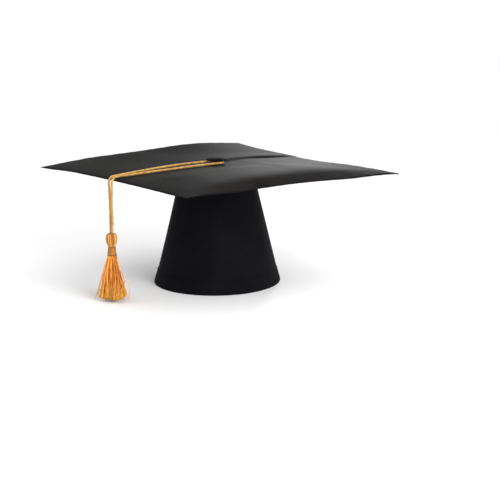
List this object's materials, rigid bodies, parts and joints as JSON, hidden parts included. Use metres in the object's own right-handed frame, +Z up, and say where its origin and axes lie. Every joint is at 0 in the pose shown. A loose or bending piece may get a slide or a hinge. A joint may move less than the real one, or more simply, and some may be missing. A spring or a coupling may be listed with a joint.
{
  "type": "graduation cap",
  "caption": "Small soft graduation cap: square cloth-covered board on a tapered oval crown, with a covered button and a hanging gold cord and tassel.",
  "frame": {"origin": "centre of the oval head opening, on the plane of the rim that the cap stands on", "axes": "+Z up through the button, -Y forward with a corner of the board pointing forward, +X to the right of someone looking at the front"},
  "size_m": [0.2334, 0.2334, 0.0806],
  "materials": {
    "board_cloth": "soft matt black cloth with a faint grey sheen",
    "crown_cloth": "matt bluish-black woven cloth",
    "button_cloth": "matt black cloth",
    "lining": "smooth black lining cloth",
    "interlining": "stiff dark non-woven cloth",
    "stiff_card": "plain uncoated card",
    "button_metal": "plain pressed metal",
    "black_thread": "matt sewing thread",
    "gold_cord": "gold twisted cord with a silky sheen",
    "gold_fringe": "orange-gold silky threads"
  },
  "bodies": {
    "cap": {"board_top_cover": "board_cloth", "board_stiffener": "stiff_card", "board_edge_seam": "board_cloth", "board_under_cover": "crown_cloth", "button_cover": "button_cloth", "button_shell": "button_metal", "button_back": "button_metal", "button_thread": "black_thread", "button_washer": "button_metal", "button_knot": "black_thread", "crown_outer": "crown_cloth", "crown_interlining": "interlining", "crown_lining": "lining", "crown_top_allowance": "crown_cloth", "crown_top_lining": "lining", "crown_hem": "crown_cloth", "head_band": "lining", "back_seam_tape": "lining"},
    "cord_loop": {"cord_run": "gold_cord", "cord_bend_front": "gold_cord", "cord_bend_rear": "gold_cord"},
    "cord_hang": {"cord_hang_front": "gold_cord", "cord_hang_rear": "gold_cord"},
    "cord_drop": {"cord_drop_front": "gold_cord", "cord_drop_rear": "gold_cord"},
    "tassel": {"tassel_head": "gold_fringe", "tassel_cord_knot": "gold_cord", "tassel_neck_binding": "gold_cord", "tassel_fringe": "gold_fringe"}
  },
  "joints": [
    {"name": "tassel_turn", "type": "hinge", "parent": "cap", "child": "cord_loop", "pos_m": [0, 0, 0.07755], "axis": [-0.0041, -0.0378, 0.9993], "range_deg": [-12, 1]},
    {"name": "tassel_out_swing", "type": "hinge", "parent": "cord_loop", "child": "cord_hang", "pos_m": [-0.05368, -0.065, 0.07422], "axis": [-0.7071, 0.7071, 0], "range_deg": [-18, 80], "deforming": ["cord_bend_front", "cord_bend_rear"]},
    {"name": "tassel_side_swing", "type": "hinge", "parent": "cord_hang", "child": "cord_drop", "pos_m": [-0.05431, -0.06562, 0.069], "axis": [-0.7071, -0.7071, 0], "range_deg": [-60, 60], "deforming": ["cord_hang_front", "cord_hang_rear"]},
    {"name": "tassel_twist", "type": "hinge", "parent": "cord_drop", "child": "tassel", "pos_m": [-0.05431, -0.06562, 0.041], "axis": [0, 0, 1], "range_deg": [-180, 180]}
  ]
}
